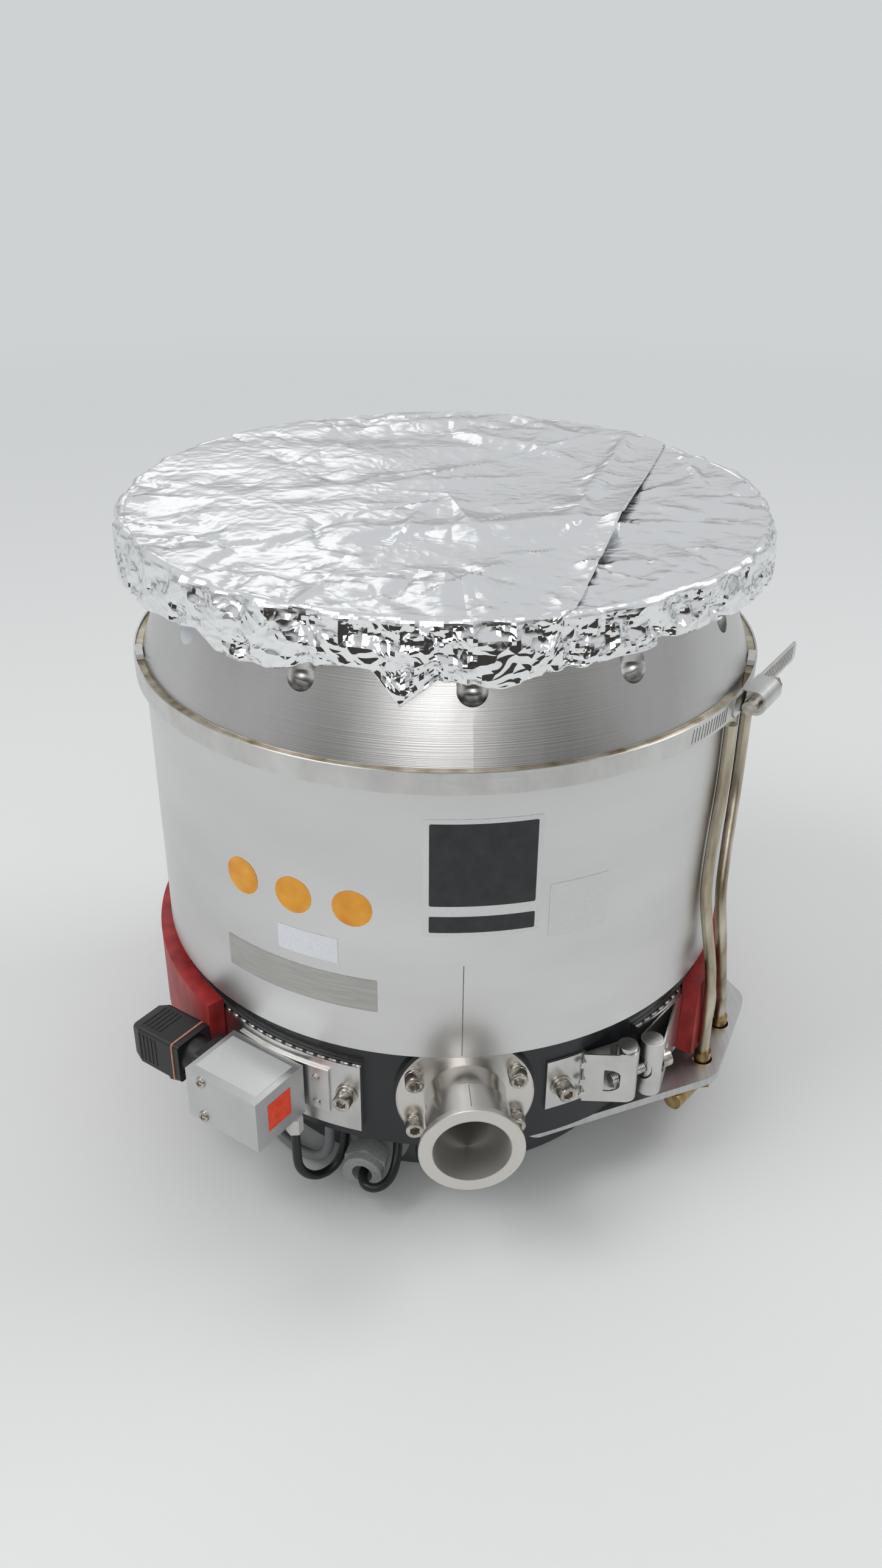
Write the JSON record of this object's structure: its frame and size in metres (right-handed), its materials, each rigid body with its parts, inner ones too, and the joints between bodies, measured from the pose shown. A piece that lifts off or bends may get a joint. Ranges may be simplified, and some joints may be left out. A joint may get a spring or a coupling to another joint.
{
  "type": "turbomolecular pump",
  "caption": "Turbomolecular vacuum pump: cylindrical casing, bolted inlet flange under foil, small exhaust port, heater band, cooling tube and bladed rotor.",
  "frame": {"origin": "middle of the standing face, on the rotor axis", "axes": "+Z along the rotor axis towards the inlet flange, -Y along the exhaust port, +X to the right of the port"},
  "size_m": [0.3741, 0.3775, 0.367],
  "materials": {
    "band_steel": "satin",
    "barrel_steel": "zinc plated",
    "laminations": "matte",
    "screws": "polished",
    "black_cord": "satin",
    "black_casting": "satin",
    "stator_aluminium": "machined",
    "grey_casting": "matte",
    "plate_aluminium": "satin",
    "gland_plastic": "matte",
    "casing_aluminium": "matte",
    "clamp_steel": "satin",
    "cooling_tube": "tarnished",
    "black_plastic": "satin",
    "turned_steel": "turned",
    "foil": "crumpled, bright",
    "white_plastic": "matte",
    "brushed_flange": "brushed",
    "red_silicone": "satin",
    "seal_rubber": "matte",
    "copper_gasket": "matte",
    "grey_cord": "satin",
    "box_sheet": "matte",
    "brass_fitting": "satin"
  },
  "bodies": {
    "pump": {"anchor_plate": "band_steel", "anchor_strap": "band_steel", "anchor_trunnion": "barrel_steel", "axial_bearing": "laminations", "band_screws": "screws", "band_strap": "band_steel", "band_trunnion": "barrel_steel", "base_cable": "black_cord", "base_housing": "black_casting", "bearing_column": "stator_aluminium", "bottom_cover": "grey_casting", "box_bracket": "band_steel", "bracket_plate": "plate_aluminium", "bracket_screws": "screws", "cable_gland": "gland_plastic", "casing": "casing_aluminium", "clamp_band": "clamp_steel", "clamp_housing": "clamp_steel", "cooling_ring": "cooling_tube", "cooling_tubes": "cooling_tube", "exhaust_port": "turned_steel", "exhaust_screws": "screws", "gland_nut": "gland_plastic", "heater_band": "band_steel", "heater_cable": "black_cord", "heater_cable_nut": "white_plastic", "inlet_flange": "brushed_flange", "inlet_screen": "turned_steel", "insulation_strip": "red_silicone", "lid_screws": "screws", "lower_housing": "grey_casting", "magnetic_bearings": "laminations", "motor_stator": "laminations", "o_rings": "seal_rubber", "plug_gasket": "copper_gasket", "rivets": "barrel_steel", "sensor_cable": "grey_cord", "socket_base": "black_plastic", "spacer_rings": "stator_aluminium", "stator_disc_1": "stator_aluminium", "stator_disc_2": "stator_aluminium", "stator_disc_3": "stator_aluminium", "stator_disc_4": "stator_aluminium", "stator_disc_5": "stator_aluminium", "terminal_box": "box_sheet", "terminal_lid": "box_sheet", "threaded_stator": "stator_aluminium", "touchdown_bearings": "turned_steel", "tube_clips": "white_plastic", "tube_ferrules": "brass_fitting", "water_elbows": "brass_fitting"},
    "rotor": {"rotor": "stator_aluminium", "rotor_shaft": "turned_steel", "rotor_sleeves": "laminations"},
    "clamp_worm": {"clamp_screw": "screws"},
    "latch_screw": {"tension_screw": "screws"},
    "plug": {"din_plug": "black_plastic"},
    "plug_screw": {"plug_screw": "screws"},
    "foil": {"foil_lower": "foil", "foil_upper": "foil"}
  },
  "joints": [
    {"name": "rotor_spin", "type": "hinge", "parent": "pump", "child": "rotor", "pos_m": [0, 0, 0.2], "axis": [0, 0, 1], "continuous": true},
    {"name": "clamp_worm_turn", "type": "hinge", "parent": "pump", "child": "clamp_worm", "pos_m": [0.1568, -0.08936, 0.2865], "axis": [0.6018, 0.7986, 0], "continuous": true},
    {"name": "latch_screw_turn", "type": "hinge", "parent": "pump", "child": "latch_screw", "pos_m": [0.09011, -0.14533, 0.085], "axis": [0.9082, 0.4185, 0], "continuous": true},
    {"name": "plug_pull", "type": "slide", "parent": "pump", "child": "plug", "axis": [-0.7738, 0.6334, 0], "range_m": [0, 0.025]},
    {"name": "plug_screw_turn", "type": "hinge", "parent": "plug", "child": "plug_screw", "pos_m": [-0.16202, -0.10322, 0.0865], "axis": [-0.7738, 0.6334, 0], "continuous": true},
    {"name": "foil_lift", "type": "slide", "parent": "pump", "child": "foil", "axis": [0, 0, 1], "range_m": [0, 0.08]}
  ]
}
